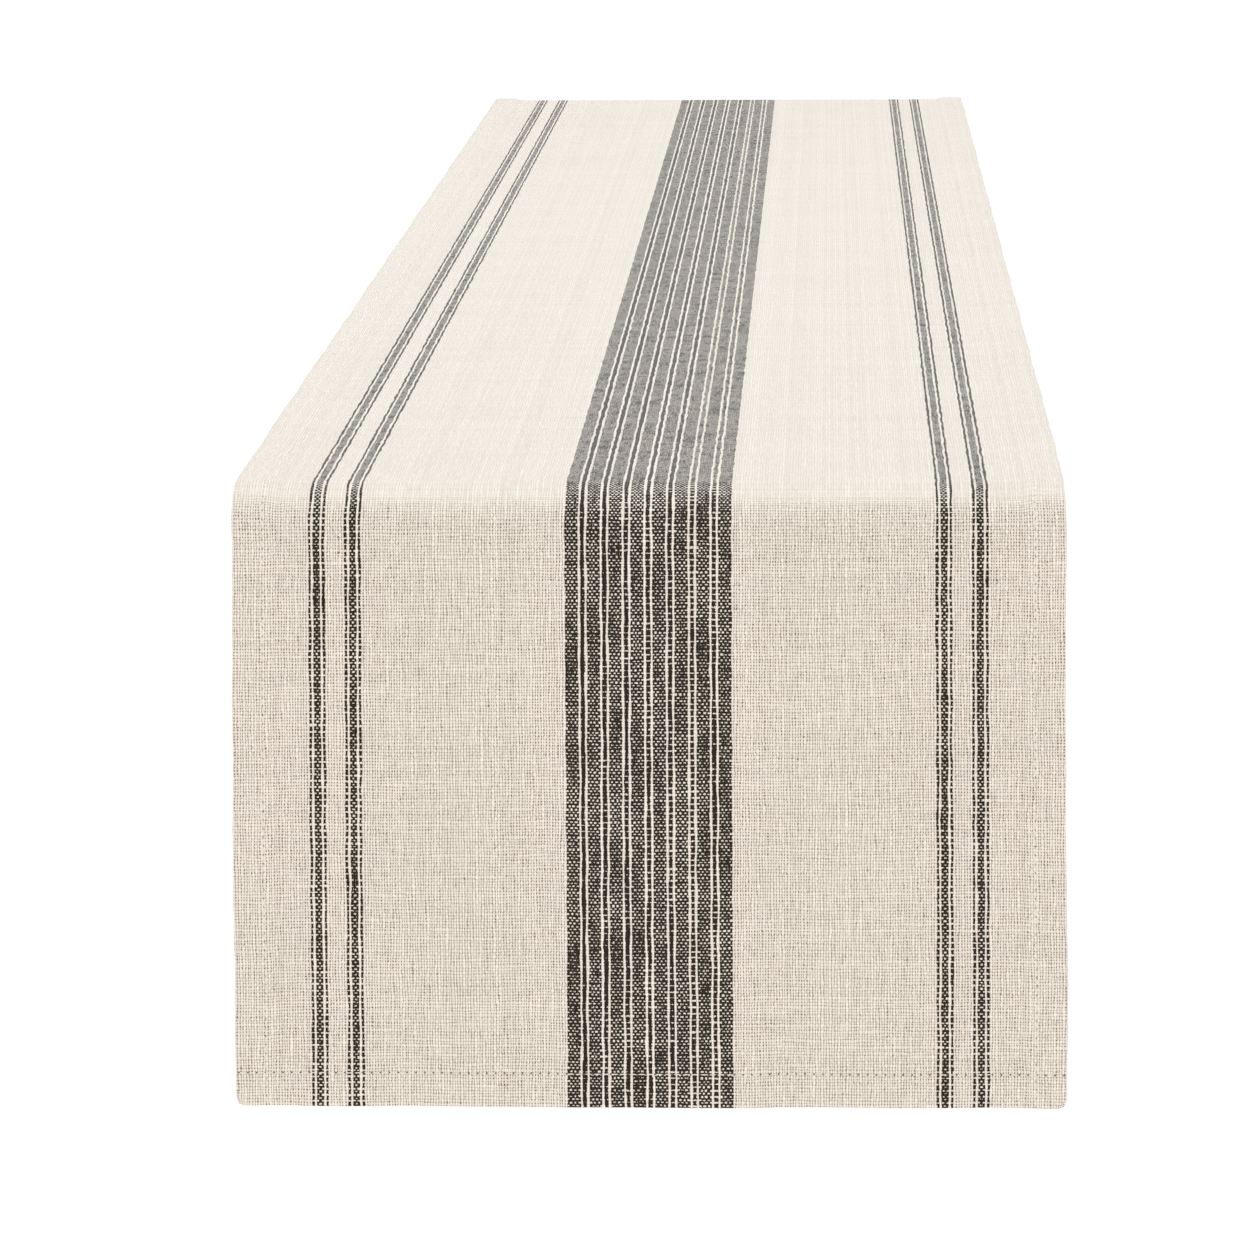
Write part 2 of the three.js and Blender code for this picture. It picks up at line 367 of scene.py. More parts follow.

    # painted shade: the cloth is darkened down the sides of its yarns and most in the gaps between them,
    # less where it lies on the table, where the light from above falls in
    hangingPaintedShade, lyingPaintedShade = srgb(weave["hangingPaintedShade"]), srgb(weave["lyingPaintedShade"])
    paintedGapShade = addNode(tree, "ShaderNodeMix", {0: lying, 6: hangingPaintedShade, 7: lyingPaintedShade}, data_type="RGBA")
    gapShadeAmount = add(ranged, (height, 0.0, weave["gapTop"], 1.0, 0.0), clamp=True)
    gapShadeAmount = add(maths, (gapShadeAmount, weave["gapCurve"]), operation="POWER")
    betweenEnds = add(ranged, (warpHeight, 0.0, weave["endGapTop"], 1.0, 0.0), clamp=True)
    betweenEnds = add(maths, (betweenEnds, weave["endGap"]), operation="MULTIPLY")
    gapShadeAmount = add(maths, (gapShadeAmount, betweenEnds), operation="MAXIMUM")
    # the painted shade laid over the yarns' own colour
    shade = {0: gapShadeAmount, 6: (1, 1, 1, 1), 7: paintedGapShade.outputs[2]}
    shade = addNode(tree, "ShaderNodeMix", shade, data_type="RGBA")
    colour = add(vectors, (yarnColour, shade.outputs[2]), operation="MULTIPLY")

    # painted shade: a small dark spot in each hole that the needle leaves between one hem stitch and the
    # next
    def needleHoles(fromMiddle, row, run):
        toRow = add(maths, (fromMiddle,), operation="ABSOLUTE")
        toRow = add(maths, (toRow, row), operation="SUBTRACT")
        toHole = add(maths, (run, stitching["pitch"]), operation="DIVIDE")
        toHole = add(maths, (toHole,), operation="FRACT")
        toHole = add(maths, (toHole, 0.5), operation="SUBTRACT")
        toHole = add(maths, (toHole, stitching["pitch"]), operation="MULTIPLY")
        away = add(maths, (toHole, toHole), operation="MULTIPLY")
        away = add(maths, (toRow, toRow, away), operation="MULTIPLY_ADD")
        away = add(maths, (away,), operation="SQRT")
        return add(ranged, (away, 0.5 * stitching["holeRadius"], stitching["holeRadius"], 1, 0), clamp=True)

    endHoles = needleHoles(along, faceEnd - stitching["endRow"], across)
    sideHoles = needleHoles(across, faceSide - stitching["sideRow"], along)
    sideHoles = add(maths, (sideHoles, stitching["sideHoleShade"]), operation="MULTIPLY")
    holes = add(maths, (endHoles, sideHoles), operation="MAXIMUM")
    # the needle holes' painted shade over the cloth's colour
    holeShaded = {0: holes, 6: colour, 7: srgb(stitching["paintedHoleShade"])}
    holeShaded = addNode(tree, "ShaderNodeMix", holeShaded, data_type="RGBA")

    bump = {"Strength": weave["bumpStrength"], "Distance": weave["bumpDepth"], "Height": height}
    shader = add("ShaderNodeBsdfPrincipled", {
        "Base Color": holeShaded.outputs[2], "Normal": add("ShaderNodeBump", bump),
        "Roughness": weave["roughness"], "Specular IOR Level": weave["specular"],
        "Sheen Weight": weave["sheen"], "Sheen Roughness": weave["sheenRoughness"],
        "Sheen Tint": (1, 1, 1, 1)})
    addNode(tree, "ShaderNodeOutputMaterial", {"Surface": shader})
    return material


sewing = {
    # the thread's colour in the grooves between its plies, painted darker as shade, and on their ridges
    "dark": "D9CFBF",
    "light": "F1EBDF",
    "plyPitch": 0.000449,  # from one ridge of the plied thread to the next
    "plyDepth": 0.00008,
    "distortion": 1.5,
    "bumpStrength": 0.4,
    "roughness": 0.7,
    "specular": 0.3,
    "sheen": 0.2,
}


# Spun cotton sewing thread: matt and off-white, with the fine slanting ridges of its two plies, and
# painted shade in the grooves between them.
def threadMaterial():
    material = newMaterial("spun_cotton_sewing_thread")
    tree = material.node_tree
    place = addNode(tree, "ShaderNodeTexCoord").outputs["Object"]
    waves = {"Vector": place, "Scale": math.pi / 5 / sewing["plyPitch"], "Distortion": sewing["distortion"]}
    plies = addNode(tree, "ShaderNodeTexWave", waves, bands_direction="DIAGONAL").outputs["Fac"]
    bump = {"Strength": sewing["bumpStrength"], "Distance": sewing["plyDepth"], "Height": plies}
    bump = addNode(tree, "ShaderNodeBump", bump)
    # painted shade: darker in the grooves between the plies, lighter on their ridges
    colours = {0: plies, 6: srgb(sewing["dark"]), 7: srgb(sewing["light"])}
    tint = addNode(tree, "ShaderNodeMix", colours, data_type="RGBA")
    shader = addNode(tree, "ShaderNodeBsdfPrincipled", {
        "Base Color": tint.outputs[2], "Roughness": sewing["roughness"], "Normal": bump.outputs[0],
        "Specular IOR Level": sewing["specular"], "Sheen Weight": sewing["sheen"]})
    addNode(tree, "ShaderNodeOutputMaterial", {"Surface": shader.outputs[0]})
    return material


# White seamless paper, which the studio light burns out to nearly pure white. It is clear from
# below, so that the cloth's underside can be looked at.
def floorMaterial():
    material = newMaterial("white_seamless_paper")
    tree = material.node_tree
    white = (studio["floorWhite"],) * 3
    shader = addNode(tree, "ShaderNodeBsdfPrincipled", {
        "Base Color": (*white, 1), "Roughness": 1.0, "Specular IOR Level": 0.0,
        "Emission Color": (1, 1, 1, 1), "Emission Strength": studio["floorGlow"]})
    clear = addNode(tree, "ShaderNodeBsdfTransparent")
    below = addNode(tree, "ShaderNodeNewGeometry").outputs["Backfacing"]
    sheet = addNode(tree, "ShaderNodeMixShader", (below, shader.outputs[0], clear.outputs[0]))
    addNode(tree, "ShaderNodeOutputMaterial", {"Surface": sheet.outputs[0]})
    return material


# how the cloth departs from a perfect drape
drape = {
    "rampWidth": 0.006,  # where the cloth climbs onto a hem
    "layerPitch": 0.00068,  # the layers of a hem are pressed close together
    "cornerRadius": 0.0038,
    "edgeBand": 3,  # how far in from a side the edge strays, in hem widths
    "edgeStray": 0.0004,
    "topLift": 0.00025,  # of that band off the table
    "swellAcross": 3,  # how much shorter the swells are across than along
    "pucker": 0.00006,  # along the hem stitching
    "hemStray": 0.0002,  # of the end hem, up and down
    "hemStrayReach": 0.03,
    "flare": 0.0019,  # how much the free end spreads, each side
    "phase": 1.7,  # by which the two halves differ
}

# each wave: radians in a metre across and along, where it starts, and its share
swellWaves = [(11, 9, 0.6, 0.5), (23, -14, 2.1, 0.3), (5, 31, 4.0, 0.35), (41, 17, 1.3, 0.12)]
edgeWaves = [(0, 34, 0.4, 0.45), (0, 71, 2.6, 0.3), (0, 131, 5.0, 0.2), (60, 12, 1.0, 0.15)]
puckerWaves = [(90, 820, 0.3, 0.5), (0, 1330, 2.2, 0.5)]
hemWaves = [(37, 5, 0, 0.6), (83, 3, 1, 0.4)]

# how finely the cloth is divided
grid = {
    "halfAcross": 41,  # points from the middle to a hem
    "alongTop": 100,
    "alongBend": 34,
    "alongDrop": 54,
    "beforeBend": 0.03,  # the finer part starts this far before the table's edge
    "afterBend": 0.02,
    "ramp": 6,  # points up onto a hem, and across it
    "fold": 7,  # steps round the outer fold of a hem
    "underside": 5,
    "innerFold": 6,
    "corner": 5,  # steps round each corner of the cloth
    "crease": 50,  # degrees, past which an edge is drawn sharp
}
lowHeight, midHeight, highHeight = [drape["layerPitch"] * (i + 0.5) for i in range(3)]


def smooth(t):
    t = np.clip(t, 0, 1)
    return t * t * (3 - 2 * t)


# Points from the middle of the cloth out to a hemmed edge, round the edge and back inside the
# double turn: (place, height of the cloth's middle, whether it is a turned layer)
def hemmedProfile(stops, edge, hem):
    hemInner = edge - hem
    outerBend = (highHeight - lowHeight) / 2
    innerBend = (midHeight - lowHeight) / 2
    points = [(stop, lowHeight, False) for stop in stops]
    for t in np.linspace(0, 1, grid["ramp"]):
        rise = lowHeight + (highHeight - lowHeight) * float(smooth(t))
        points.append((hemInner - drape["rampWidth"] * (1 - t), rise, False))
    for t in np.linspace(0, 1, grid["ramp"])[1:]:
        points.append((hemInner + (hem - outerBend) * t, highHeight, False))
    for angle in np.linspace(0, math.pi, grid["fold"] + 1)[1:]:
        away = edge - outerBend + outerBend * math.sin(angle)
        points.append((away, highHeight - outerBend * (1 - math.cos(angle)), True))
    for t in np.linspace(0, 1, grid["underside"])[1:]:
        points.append((edge - outerBend + (hemInner + innerBend - edge + outerBend) * t, lowHeight, True))
    for angle in np.linspace(0, math.pi, grid["innerFold"])[1:]:
        away = hemInner + innerBend - innerBend * math.sin(angle)
        points.append((away, lowHeight + innerBend * (1 - math.cos(angle)), True))
    tucked = edge - 2 * outerBend
    for t in np.linspace(0, 1, grid["underside"])[1:]:
        points.append((hemInner + innerBend + (tucked - hemInner - innerBend) * t, midHeight, True))
    return points


def noiseWave(a, b, waves):
    total = 0
    for frequencyA, frequencyB, phase, share in waves:
        total = total + share * np.sin(frequencyA * a + frequencyB * b + phase)
    return total


# A point at a distance from the middle of the runner along the table, and so far above it.
# side is -1 for the near half and 1 for the far half.
def overTable(side, x, distance, above):
    around = np.interp(distance - halfFlat, edgeTravel, roundEdge)
    turned = np.arctan2(edgeDrop * np.sin(around), edgeReach * np.cos(around))
    hanging = np.maximum(distance - halfFlat - bendLength, 0)
    y = np.minimum(distance, halfFlat) + edgeReach * np.sin(around) + above * np.sin(turned)
    z = edgeDrop * (np.cos(around) - 1) + above * np.cos(turned) - hanging
    return np.stack([x + 0 * y, side * y, z], axis=-1)


# how each end settles over the table's edge, from a cloth simulation
settling = {
    "spacing": 0.011,
    "onTable": 0.12,  # how much of the cloth on the table is let go
    "takesOver": 0.1,  # from the table's edge to where the simulation alone shapes the cloth
    "tableSpare": 0.1,  # how far the table's surface runs past the cloth
    "tableSteps": 80,
    "frames": 40,
    "ripple": 0.0035,  # how uneven the cloth is when it is laid down
    "clearance": 0.002,  # kept between the cloth and the table while it settles
    "most": 0.003,  # the furthest that a point may settle from the flat drape
}

# the cloth's physics, by Blender's own names
clothPhysics = {
    "quality": 8,
    "mass": 0.05,
    "tension_stiffness": 80,
    "compression_stiffness": 80,
    "shear_stiffness": 30,
    "bending_stiffness": 1.5,
    "air_damping": 4,
}
tableFriction = 20


def gridMesh(name, points):
    rows, count = points.shape[:2]
    corners = [r * count + c for r in range(rows - 1) for c in range(count - 1)]
    faces = [(v, v + 1, v + count + 1, v + count) for v in corners]
    mesh = bpy.data.meshes.new(name)
    mesh.from_pydata(points.reshape(-1, 3).tolist(), [], faces)
    return newObject(name, mesh)


def settlingTable(side, start, end):
    across = [-2 * halfWidth, 2 * halfWidth]
    x, distance = np.meshgrid(across, np.linspace(start, end, settling["tableSteps"]))
    table = gridMesh("settling_table", overTable(side, x, distance, 0 * x))
    if side < 0:
        table.data.flip_normals()
    table.modifiers.new("table", "COLLISION")
    table.collision.thickness_outer = settling["clearance"] / 2
    table.collision.cloth_friction = tableFriction
    return table


# Grids of how far an end settles outwards and sideways, over its places across and along
def settledEnd(side):
    across = np.linspace(-halfWidth, halfWidth, round(2 * halfWidth / settling["spacing"]) + 1)
    start = halfFlat - settling["onTable"]
    along = np.linspace(start, halfLength, round((halfLength - start) / settling["spacing"]) + 1)
    x, distance = np.meshgrid(across, along)

    hang = smooth((distance - halfFlat) / settling["takesOver"])
    swell = noiseWave(x * drape["swellAcross"] + drape["phase"] * side, distance, swellWaves)
    ripple = settling["ripple"] * hang * swell
    flat = overTable(side, x, distance, 0 * x)
    out = overTable(side, x, distance, 1 + 0 * x) - flat
    laid = gridMesh("settling_cloth", flat + out * (settling["clearance"] + ripple)[..., None])
    held = laid.vertex_groups.new(name="held")
    held.add([int(v) for v in range(2 * len(across))], 1.0, "REPLACE")
    table = settlingTable(side, start - settling["tableSpare"], halfLength + settling["tableSpare"])

    cloth = laid.modifiers.new("cloth", "CLOTH")
    for name, value in clothPhysics.items():
        setattr(cloth.settings, name, value)
    cloth.settings.vertex_group_mass = "held"
    cloth.collision_settings.distance_min = settling["clearance"] / 2
    cloth.point_cache.frame_end = settling["frames"]
    for step in range(1, settling["frames"] + 1):
        bpy.context.scene.frame_set(step)
    settled = bpy.data.meshes.new_from_object(laid.evaluated_get(bpy.context.evaluated_depsgraph_get()))
    points = np.zeros(x.size * 3)
    settled.vertices.foreach_get("co", points)
    moved = points.reshape(*x.shape, 3) - flat
    bpy.context.scene.frame_set(1)
    for thing in (laid, table):
        bpy.data.objects.remove(thing)

    most = settling["most"]
    outward = np.clip(np.sum(moved * out, axis=-1) - settling["clearance"], -most, most) * hang
    sideways = np.clip(moved[..., 0], -most, most) * hang
    print("settled", "near" if side < 0 else "far", "end: outwards up to", round(float(outward.max()), 5),
          "and down to", round(float(outward.min()), 5), "sideways", round(float(np.abs(sideways).max()), 5))
    return across, along, outward, sideways


# A grid's value at places between its points
def sampled(across, along, values, x, distance):
    justInside = 1.001
    column = np.interp(x, across, np.arange(len(across)))
    row = np.interp(distance, along, np.arange(len(along)))
    column = np.clip(column, 0, len(across) - justInside)
    row = np.clip(row, 0, len(along) - justInside)
    c, r = column.astype(int), row.astype(int)
    fc, fr = column - c, row - r
    upper = values[r, c] * (1 - fc) + values[r, c + 1] * fc
    lower = values[r + 1, c] * (1 - fc) + values[r + 1, c + 1] * fc
    return upper * (1 - fr) + lower * fr


settledEnds = {side: settledEnd(side) for side in (-1, 1)}


# Where a point of the cloth lies: x across, distance from the middle of the runner along the
# table, and height above the table.
def layOut(side, x, distance, height):
    hanging = np.maximum(distance - halfFlat - bendLength, 0)
    hangShare = smooth(hanging / hangLength)
    across, along, outward, sideways = settledEnds[side]
    lift = sampled(across, along, outward, x, distance)
    strayX = sampled(across, along, sideways, x, distance)

    # small, slow departures from a perfect drape
    toEdge = halfWidth - np.abs(x)
    nearEdge = smooth(1 - toEdge / (drape["edgeBand"] * sideHem))
    phase = drape["phase"] * side
    swell = noiseWave(x * drape["swellAcross"] + phase, distance, swellWaves)
    lift = lift + drape["topLift"] * (1 - hangShare) * nearEdge * (1 + swell)
    inHem = smooth(1 - toEdge / sideHem)
    lift = lift + drape["pucker"] * inHem * noiseWave(x, distance + phase, puckerWaves)
    strayX = strayX + drape["edgeStray"] * nearEdge * noiseWave(np.sign(x) + phase, distance, edgeWaves)
    spread = (hangShare + hanging / hangLength) / 2
    strayX = strayX + drape["flare"] * spread * x / halfWidth

    # the corners of the hem are round
    toEnd = halfLength - distance
    radius = drape["cornerRadius"]
    besideX = np.clip(radius - toEdge, 1e-9, radius)
    besideEnd = np.clip(radius - toEnd, 1e-9, radius)
    ontoCircle = 1 - np.maximum(besideX, besideEnd) / np.hypot(besideX, besideEnd)
    strayX = strayX - np.sign(x) * besideX * ontoCircle
    nearEnd = smooth(1 - toEnd / drape["hemStrayReach"])
    dropStray = drape["hemStray"] * nearEnd * noiseWave(x, 0 * x + phase, hemWaves)

    points = overTable(side, x + strayX, distance, height + lift)
    points[..., 2] += besideEnd * ontoCircle + dropStray
    return points


def columnProfile():
    flatStops = list(np.linspace(0, halfWidth - sideHem - drape["rampWidth"], grid["halfAcross"]))[:-1]
    return hemmedProfile(flatStops, halfWidth - weave["clothThickness"] / 2, sideHem)


def rowProfile():
    bendStart = halfFlat - grid["beforeBend"]
    bendEnd = halfFlat + bendLength + grid["afterBend"]
    topStops = list(np.linspace(0, bendStart, grid["alongTop"]))
    bendStops = list(np.linspace(bendStart, bendEnd, grid["alongBend"]))[1:]
    dropEnd = halfLength - endHem - drape["rampWidth"]
    dropStops = list(np.linspace(bendStops[-1], dropEnd, grid["alongDrop"]))[1:-1]
    stops = topStops + bendStops + dropStops
    return hemmedProfile(stops, halfLength - weave["clothThickness"] / 2, endHem)


# how far along the cloth each point of a profile is
def travelled(at, up):
    return np.concatenate([[0], np.cumsum(np.hypot(np.diff(at), np.diff(up)))])


# The grid that both halves are woven on. Each column and row has its place on the table, its
# height, and its place in the flat cut cloth, measured along the cloth from the middle.
rightColumns = columnProfile()
columns = [(-x, h, turned) for x, h, turned in reversed(rightColumns)] + rightColumns[1:]
colX, colHeight, colTurned = (np.array(v) for v in zip(*columns))
rowAt, rowHeight, rowTurned = (np.array(v) for v in zip(*rowProfile()))
acrossCloth = travelled(colX, colHeight)
acrossCloth -= acrossCloth[len(rightColumns) - 1]
alongCloth = travelled(rowAt, rowHeight)

# the last column and row before the cloth folds under, counted from the middle
middleCol = len(rightColumns) - 1
lastCol = int(np.argmax(colTurned[middleCol:])) - 1
lastRow = int(np.argmax(rowTurned)) - 1
faceSide = float(acrossCloth[middleCol + lastCol])
faceEnd = float(alongCloth[lastRow])


# The height of every point of the grid: on the face the cloth climbs onto either hem, and a
# turned layer keeps its own height.
def gridHeights():
    climb = highHeight - lowHeight
    acrossClimb = (colHeight - lowHeight)[None, :] / climb
    alongClimb = (rowHeight - lowHeight)[:, None] / climb
    height = lowHeight + climb * (1 - (1 - acrossClimb) * (1 - alongClimb))
    height = np.where(colTurned[None, :], colHeight[None, :], height)
    return np.where(rowTurned[:, None], rowHeight[:, None], height)


# The grid's faces. The side turns stop at the end hem, where their bulk is trimmed away, all but
# the outer fold.
def gridFaces():
    count = len(colX)
    pastHem = 0.001
    faces = []
    for r in range(len(rowAt) - 1):
        overEnd = rowAt[r + 1] > rowAt[lastRow] - endHem + pastHem
        for c in range(count - 1):
            outermost = max(abs(c - middleCol), abs(c + 1 - middleCol))
            if rowTurned[r + 1]:
                allowed = lastCol
            else:
                allowed = lastCol + grid["fold"] if overEnd else middleCol
            if outermost <= allowed:
                corner = r * count + c
                faces.append((corner, corner + 1, corner + count + 1, corner + count))
    return faces


# Closes a corner of the hem by a quarter of a ball between the side fold and the end fold. It adds
# to the points and their places in the cut cloth, and returns the faces with the new ones.
def closedCorner(side, sign, points, places, faces):
    count, steps = len(colX), grid["fold"]
    edgeCol = middleCol + lastCol
    sideArc = [lastRow * count + middleCol + sign * (lastCol + j) for j in range(steps + 1)]
    endArc = [(lastRow + j) * count + middleCol + sign * lastCol for j in range(steps + 1)]
    arcs = [sideArc]
    for turn in np.linspace(0, math.pi / 2, grid["corner"] + 1)[1:-1]:
        outX, outEnd = math.cos(turn), math.sin(turn)
        arc = [sideArc[0]]
        for j in range(1, steps):
            away = colX[edgeCol + j] - colX[edgeCol]
            run = acrossCloth[edgeCol + j] - acrossCloth[edgeCol]
            arc.append(len(points))
            x, distance = sign * (colX[edgeCol] + away * outX), rowAt[lastRow] + away * outEnd
            points.append(layOut(side, x, distance, colHeight[edgeCol + j]))
            places.append((sign * (acrossCloth[edgeCol] + run * outX), alongCloth[lastRow] + run * outEnd))
        arcs.append([*arc, sideArc[-1]])

    # both folds end at one point on the back
    arcs.append([*endArc[:-1], sideArc[-1]])
    faces = [[sideArc[-1] if v == endArc[-1] else v for v in face] for face in faces]
    for a, b in zip(arcs, arcs[1:]):
        for j in range(steps):
            face = (a[j], a[j + 1], b[j + 1], b[j])
            face = [v for i, v in enumerate(face) if v != face[i - 1]]
            faces.append(face if sign > 0 else face[::-1])
    return faces


def halfCloth(name, side, material):
    height = gridHeights()
    x = np.broadcast_to(colX[None, :], height.shape)
    distance = np.broadcast_to(rowAt[:, None], height.shape)
    points = list(layOut(side, x, distance, height).reshape(-1, 3))
    places = list(np.stack(np.meshgrid(acrossCloth, alongCloth), axis=-1).reshape(-1, 2))
    faces = gridFaces()
    for sign in (-1, 1):
        faces = closedCorner(side, sign, points, places, faces)
    if side < 0:
        faces = [f[::-1] for f in faces]

    mesh = bpy.data.meshes.new(name)
    mesh.from_pydata(np.array(points).tolist(), [], faces)
    uv = mesh.uv_layers.new(name="yarnPlace")
    corners = np.zeros(len(mesh.loops), int)
    mesh.loops.foreach_get("vertex_index", corners)
    uv.data.foreach_set("uv", (np.array(places)[corners] * (1, side)).astype(np.float32).ravel())

    # the points that no face uses
    trimmed = bmesh.new()
    trimmed.from_mesh(mesh)
    bmesh.ops.delete(trimmed, geom=[v for v in trimmed.verts if not v.link_faces], context="VERTS")
    trimmed.to_mesh(mesh)
    trimmed.free()

    cloth = newObject(name, mesh)
    thick = cloth.modifiers.new("thickness", "SOLIDIFY")
    thick.thickness = weave["clothThickness"]
    thick.offset = 0
    thick.use_even_offset = True
    finished = bpy.data.meshes.new_from_object(cloth.evaluated_get(bpy.context.evaluated_depsgraph_get()))
    cloth.modifiers.remove(thick)
    cloth.data = finished
    finished.name = name
    finished.polygons.foreach_set("use_smooth", [True] * len(finished.polygons))
    finished.set_sharp_from_angle(angle=math.radians(grid["crease"]))
    finished.materials.clear()
    finished.materials.append(material)
    return cloth


stitching = {
    "pitch": 0.0038,
    "stitchLength": 0.0033,
    "threadRadius": 0.00032,
    "sink": 0.00012,
    "holeRadius": 0.00055,
    # the painted shade in each needle hole
    "paintedHoleShade": "6B5444",
    "sideHoleShade": 0.4,  # how strong the painted shade of a hole is on a side hem, next to one on an end hem
    "skew": 0.06,  # radians that a stitch strays from its line
    "endRow": 0.0139,  # from the edge of the end hem
    "sideRow": 0.0122,
    "endGap": 0.001,  # from the last needle stitch of a side row to the end of the cloth
    "hemGap": 0.004,  # and from the last bobbin stitch to the end hem
    "seed": 14,
}


# A stitch at every point: a plump bead of thread that dives into the cloth at both ends.
def stitchTree():
    tree = bpy.data.node_groups.new("hem_stitches", "GeometryNodeTree")
    face = tree.interface
    face.new_socket("Geometry", in_out="INPUT", socket_type="NodeSocketGeometry")
    for name, kind in (("Stitch length", "Float"), ("Thread radius", "Float"), ("Sink", "Float"),
                       ("Skew", "Float"), ("Seed", "Int"), ("Thread", "Material")):
        face.new_socket(name, in_out="INPUT", socket_type="NodeSocket" + kind)
    face.new_socket("Geometry", in_out="OUTPUT", socket_type="NodeSocketGeometry")
    given = addNode(tree, "NodeGroupInput").outputs

    bead = addNode(tree, "GeometryNodeMeshUVSphere", {"Segments": 8, "Rings": 6, "Radius": 1.0})
    soft = addNode(tree, "GeometryNodeSetShadeSmooth", {"Geometry": bead.outputs["Mesh"]})
    half = addNode(tree, "ShaderNodeMath", (given["Stitch length"], 0.5), operation="MULTIPLY")
    size = addNode(tree, "ShaderNodeCombineXYZ", {
        "X": half.outputs[0], "Y": given["Thread radius"], "Z": given["Thread radius"]})

    named = "GeometryNodeInputNamedAttribute"
    alongRow = addNode(tree, named, {"Name": "alongRow"}, data_type="FLOAT_VECTOR").outputs["Attribute"]
    outward = addNode(tree, named, {"Name": "outward"}, data_type="FLOAT_VECTOR").outputs["Attribute"]
    axes = {"Primary Axis": outward, "Secondary Axis": alongRow}
    axes = addNode(tree, "FunctionNodeAxesToRotation", axes, primary_axis="Z", secondary_axis="X")
    back = addNode(tree, "ShaderNodeMath", (given["Skew"], -1.0), operation="MULTIPLY")
    astray = addNode(tree, "FunctionNodeRandomValue", {
        "Min": back.outputs[0], "Max": given["Skew"], "Seed": given["Seed"]}, data_type="FLOAT")
    yaw = addNode(tree, "ShaderNodeCombineXYZ", {"Z": astray.outputs["Value"]})
    turn = addNode(tree, "FunctionNodeEulerToRotation", {"Euler": yaw.outputs[0]})
    rotation = addNode(tree, "FunctionNodeRotateRotation", {
        "Rotation": axes.outputs[0], "Rotate By": turn.outputs[0]}, rotation_space="LOCAL")

    drop = addNode(tree, "ShaderNodeMath", (given["Sink"], -1.0), operation="MULTIPLY")
    inward = addNode(tree, "ShaderNodeVectorMath", {0: outward, "Scale": drop.outputs[0]}, operation="SCALE")
    sunk = addNode(tree, "GeometryNodeSetPosition", {
        "Geometry": given["Geometry"], "Offset": inward.outputs[0]})
    stitches = addNode(tree, "GeometryNodeInstanceOnPoints", {
        "Points": sunk.outputs[0], "Instance": soft.outputs[0],
        "Rotation": rotation.outputs[0], "Scale": size.outputs[0]})
    real = addNode(tree, "GeometryNodeRealizeInstances", {"Geometry": stitches.outputs[0]})
    painted = addNode(tree, "GeometryNodeSetMaterial", {
        "Geometry": real.outputs[0], "Material": given["Thread"]})
    addNode(tree, "NodeGroupOutput", {"Geometry": painted.outputs[0]})
    return tree


# Stitches centred on the given points, with the cloth's outward normal there
def sewRow(name, tree, points, outward, seed):
    alongRow = np.gradient(points, axis=0)
    mesh = bpy.data.meshes.new(name)
    mesh.from_pydata(points.tolist(), [], [])
    for label, values in (("alongRow", alongRow), ("outward", outward)):
        attribute = mesh.attributes.new(label, "FLOAT_VECTOR", "POINT")
        attribute.data.foreach_set("vector", values.astype(np.float32).ravel())
    row = newObject(name, mesh)
    sewn = row.modifiers.new("stitches", "NODES")
    sewn.node_group = tree
    values = {"Stitch length": stitching["stitchLength"], "Thread radius": stitching["threadRadius"],
              "Sink": stitching["sink"], "Skew": stitching["skew"], "Seed": seed, "Thread": threadLook}
    for socket in tree.interface.items_tree:
        if socket.in_out == "INPUT" and socket.name in values:
            sewn[socket.identifier] = values[socket.name]
    finished = bpy.data.meshes.new_from_object(row.evaluated_get(bpy.context.evaluated_depsgraph_get()))
    row.modifiers.remove(sewn)
    row.data = finished
    finished.name = name
    return row


# The cloth's face or back at places given in the flat cut cloth, and the way out of it
def surfaceAt(side, across, along, height):
    probe = 0.001
    x = np.interp(across, acrossCloth[~colTurned], colX[~colTurned])
    distance = np.interp(along, alongCloth[~rowTurned], rowAt[~rowTurned])
    on = layOut(side, x, distance, height)
    out = layOut(side, x, distance, height + probe) - on
    return on, out / np.linalg.norm(out, axis=-1, keepdims=True)


# the stitch centres between two places, which keep step with the needle holes in the cloth
def stitchCentres(start, end):
    pitch = stitching["pitch"]
    return np.arange(math.ceil(start / pitch), math.floor(end / pitch) + 1) * pitch


# the CAD nodes of the cloth on one body
def clothNodes(body):
    stripes = [f"{side}_{place}_stripe" for side in ("left", "right") for place in ("outer", "inner")]
    stripes += [f"centre_stripe_{i + 1}" for i in range(centreStripes)]
    return [f"{body}_{part}" for part in ["panel", "left_hem", "right_hem", *stripes]]


clothLook = clothMaterial()
threadLook = threadMaterial()
stitches = stitchTree()


def layHalf(name, side):
    drop = f"{name}_drop"
    cloth = halfCloth(f"runner_{name}_half", side, clothLook)
    replaced = [*clothNodes("top"), f"{name}_bend_panel", *clothNodes(drop), f"{drop}_end_hem"]
    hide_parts(*replaced)
    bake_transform(cloth)
    return cloth


# lockstitch has the needle's thread on the face and the bobbin's on the back, which stops at the
# end hem: the height of each, the way out of the cloth, and where its side rows end
half = weave["clothThickness"] / 2
layers = {
    "needle": (highHeight + half, 1, faceEnd - stitching["endGap"]),
    "bobbin": (lowHeight - half, -1, faceEnd - endHem - stitching["hemGap"]),
}


def sewEnd(name, side, layer):
    height, way, sideRowEnd = layers[layer]
    across = stitchCentres(-faceSide, faceSide)
    points, out = surfaceAt(side, across, faceEnd - stitching["endRow"], height + 0 * across)
    row = sewRow(f"{name}_end_{layer}_thread", stitches, points, way * out, stitching["seed"])
    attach(row, f"{name}_drop")
    if layer == "needle":
        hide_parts(f"{name}_drop_end_hem_thread")
    return row


